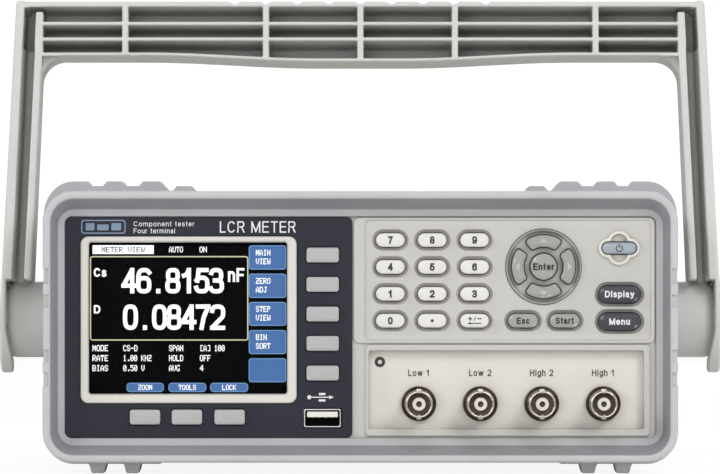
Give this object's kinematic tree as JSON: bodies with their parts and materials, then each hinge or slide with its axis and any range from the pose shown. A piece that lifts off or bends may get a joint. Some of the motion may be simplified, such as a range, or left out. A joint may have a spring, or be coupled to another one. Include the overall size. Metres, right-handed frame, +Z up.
{
  "type": "lcr meter",
  "caption": "Bench component tester with rubber corner bumpers, a colour screen beside a keypad, bayonet test terminals and a swinging carry handle that folds back or forms a tilt stand.",
  "frame": {"origin": "centre of the footprint, in the plane the feet rest on", "axes": "front panel faces -Y, +X to the user's right facing it, +Z up"},
  "size_m": [0.2644, 0.312, 0.1725],
  "materials": {
    "bumper": "matt",
    "handle_plastic": "fine grain",
    "bezel_plastic": "fine grain",
    "overlay": "satin film",
    "surround_plastic": "satin",
    "window": "clear",
    "screen": "satin",
    "key_white": "satin",
    "key_soft": "satin",
    "key_grey": "satin",
    "key_dark": "satin",
    "key_power": "satin",
    "ring_plastic": "satin",
    "terminal_panel": "satin",
    "nickel": "satin",
    "connector_steel": "bright",
    "case_paint": "fine texture",
    "chassis_steel": "plated",
    "black_plastic": "satin",
    "circuit_board": "satin",
    "silicone": "matt"
  },
  "bodies": {
    "instrument": {"front_bumper": "bumper", "rear_bumper": "bumper", "left_pivot": "handle_plastic", "right_pivot": "handle_plastic", "front_bezel": "bezel_plastic", "display_overlay": "overlay", "screen_surround": "surround_plastic", "screen_window": "window", "lcd_module": "screen", "nav_ring": "ring_plastic", "terminal_plate": "terminal_panel", "bnc_l_force": "nickel", "bnc_l_sense": "nickel", "bnc_h_sense": "nickel", "bnc_h_force": "nickel", "ground_terminal": "nickel", "usb_host_port": "connector_steel", "usb_device_port": "connector_steel", "serial_port": "connector_steel", "handler_port": "connector_steel", "top_cover": "case_paint", "rear_panel": "case_paint", "bottom_chassis": "chassis_steel", "power_inlet": "black_plastic", "main_board": "circuit_board", "front_board": "circuit_board", "power_supply": "circuit_board", "key_mat": "silicone"},
    "handle": {"handle": "handle_plastic"},
    "fuse_drawer": {"fuse_drawer": "black_plastic"},
    "power_key": {"power_key": "key_power"},
    "enter_key": {"enter_key": "key_grey"},
    "up_arrow_key": {"up_arrow_key": "key_grey"},
    "soft_key_1": {"soft_key_1": "key_soft"},
    "menu_key_1": {"menu_key_1": "key_soft"},
    "seven_key": {"seven_key": "key_white"},
    "zero_key": {"zero_key": "key_white"},
    "one_key": {"one_key": "key_white"},
    "two_key": {"two_key": "key_white"},
    "three_key": {"three_key": "key_white"},
    "four_key": {"four_key": "key_white"},
    "five_key": {"five_key": "key_white"},
    "six_key": {"six_key": "key_white"},
    "eight_key": {"eight_key": "key_white"},
    "nine_key": {"nine_key": "key_white"},
    "point_key": {"point_key": "key_white"},
    "sign_key": {"sign_key": "key_white"},
    "soft_key_2": {"soft_key_2": "key_soft"},
    "soft_key_3": {"soft_key_3": "key_soft"},
    "soft_key_4": {"soft_key_4": "key_soft"},
    "soft_key_5": {"soft_key_5": "key_soft"},
    "menu_key_2": {"menu_key_2": "key_soft"},
    "menu_key_3": {"menu_key_3": "key_soft"},
    "esc_key": {"esc_key": "key_grey"},
    "trigger_key": {"trigger_key": "key_grey"},
    "down_arrow_key": {"down_arrow_key": "key_grey"},
    "left_arrow_key": {"left_arrow_key": "key_grey"},
    "right_arrow_key": {"right_arrow_key": "key_grey"},
    "measure_key": {"measure_key": "key_dark"},
    "setup_key": {"setup_key": "key_dark"}
  },
  "joints": [
    {"name": "handle_swing", "type": "hinge", "parent": "instrument", "child": "handle", "pos_m": [0, -0.0795, 0.0549], "axis": [1, 0, 0], "range_deg": [-49, 145]},
    {"name": "fuse_drawer_slide", "type": "slide", "parent": "instrument", "child": "fuse_drawer", "axis": [0, 1, 0], "range_m": [0, 0.02]},
    {"name": "power_key_press", "type": "slide", "parent": "instrument", "child": "power_key", "axis": [0, 1, 0], "range_m": [0, 0.0015]},
    {"name": "enter_key_press", "type": "slide", "parent": "instrument", "child": "enter_key", "axis": [0, 1, 0], "range_m": [0, 0.0015]},
    {"name": "up_arrow_key_press", "type": "slide", "parent": "instrument", "child": "up_arrow_key", "axis": [0, 1, 0], "range_m": [0, 0.0015]},
    {"name": "soft_key_1_press", "type": "slide", "parent": "instrument", "child": "soft_key_1", "axis": [0, 1, 0], "range_m": [0, 0.0015]},
    {"name": "menu_key_1_press", "type": "slide", "parent": "instrument", "child": "menu_key_1", "axis": [0, 1, 0], "range_m": [0, 0.0015]},
    {"name": "seven_key_press", "type": "slide", "parent": "instrument", "child": "seven_key", "axis": [0, 1, 0], "range_m": [0, 0.0015]},
    {"name": "zero_key_press", "type": "slide", "parent": "instrument", "child": "zero_key", "axis": [0, 1, 0], "range_m": [0, 0.0015]},
    {"name": "one_key_press", "type": "slide", "parent": "instrument", "child": "one_key", "axis": [0, 1, 0], "range_m": [0, 0.0015]},
    {"name": "two_key_press", "type": "slide", "parent": "instrument", "child": "two_key", "axis": [0, 1, 0], "range_m": [0, 0.0015]},
    {"name": "three_key_press", "type": "slide", "parent": "instrument", "child": "three_key", "axis": [0, 1, 0], "range_m": [0, 0.0015]},
    {"name": "four_key_press", "type": "slide", "parent": "instrument", "child": "four_key", "axis": [0, 1, 0], "range_m": [0, 0.0015]},
    {"name": "five_key_press", "type": "slide", "parent": "instrument", "child": "five_key", "axis": [0, 1, 0], "range_m": [0, 0.0015]},
    {"name": "six_key_press", "type": "slide", "parent": "instrument", "child": "six_key", "axis": [0, 1, 0], "range_m": [0, 0.0015]},
    {"name": "eight_key_press", "type": "slide", "parent": "instrument", "child": "eight_key", "axis": [0, 1, 0], "range_m": [0, 0.0015]},
    {"name": "nine_key_press", "type": "slide", "parent": "instrument", "child": "nine_key", "axis": [0, 1, 0], "range_m": [0, 0.0015]},
    {"name": "point_key_press", "type": "slide", "parent": "instrument", "child": "point_key", "axis": [0, 1, 0], "range_m": [0, 0.0015]},
    {"name": "sign_key_press", "type": "slide", "parent": "instrument", "child": "sign_key", "axis": [0, 1, 0], "range_m": [0, 0.0015]},
    {"name": "soft_key_2_press", "type": "slide", "parent": "instrument", "child": "soft_key_2", "axis": [0, 1, 0], "range_m": [0, 0.0015]},
    {"name": "soft_key_3_press", "type": "slide", "parent": "instrument", "child": "soft_key_3", "axis": [0, 1, 0], "range_m": [0, 0.0015]},
    {"name": "soft_key_4_press", "type": "slide", "parent": "instrument", "child": "soft_key_4", "axis": [0, 1, 0], "range_m": [0, 0.0015]},
    {"name": "soft_key_5_press", "type": "slide", "parent": "instrument", "child": "soft_key_5", "axis": [0, 1, 0], "range_m": [0, 0.0015]},
    {"name": "menu_key_2_press", "type": "slide", "parent": "instrument", "child": "menu_key_2", "axis": [0, 1, 0], "range_m": [0, 0.0015]},
    {"name": "menu_key_3_press", "type": "slide", "parent": "instrument", "child": "menu_key_3", "axis": [0, 1, 0], "range_m": [0, 0.0015]},
    {"name": "esc_key_press", "type": "slide", "parent": "instrument", "child": "esc_key", "axis": [0, 1, 0], "range_m": [0, 0.0015]},
    {"name": "trigger_key_press", "type": "slide", "parent": "instrument", "child": "trigger_key", "axis": [0, 1, 0], "range_m": [0, 0.0015]},
    {"name": "down_arrow_key_press", "type": "slide", "parent": "instrument", "child": "down_arrow_key", "axis": [0, 1, 0], "range_m": [0, 0.0015]},
    {"name": "left_arrow_key_press", "type": "slide", "parent": "instrument", "child": "left_arrow_key", "axis": [0, 1, 0], "range_m": [0, 0.0015]},
    {"name": "right_arrow_key_press", "type": "slide", "parent": "instrument", "child": "right_arrow_key", "axis": [0, 1, 0], "range_m": [0, 0.0015]},
    {"name": "measure_key_press", "type": "slide", "parent": "instrument", "child": "measure_key", "axis": [0, 1, 0], "range_m": [0, 0.0015]},
    {"name": "setup_key_press", "type": "slide", "parent": "instrument", "child": "setup_key", "axis": [0, 1, 0], "range_m": [0, 0.0015]}
  ]
}
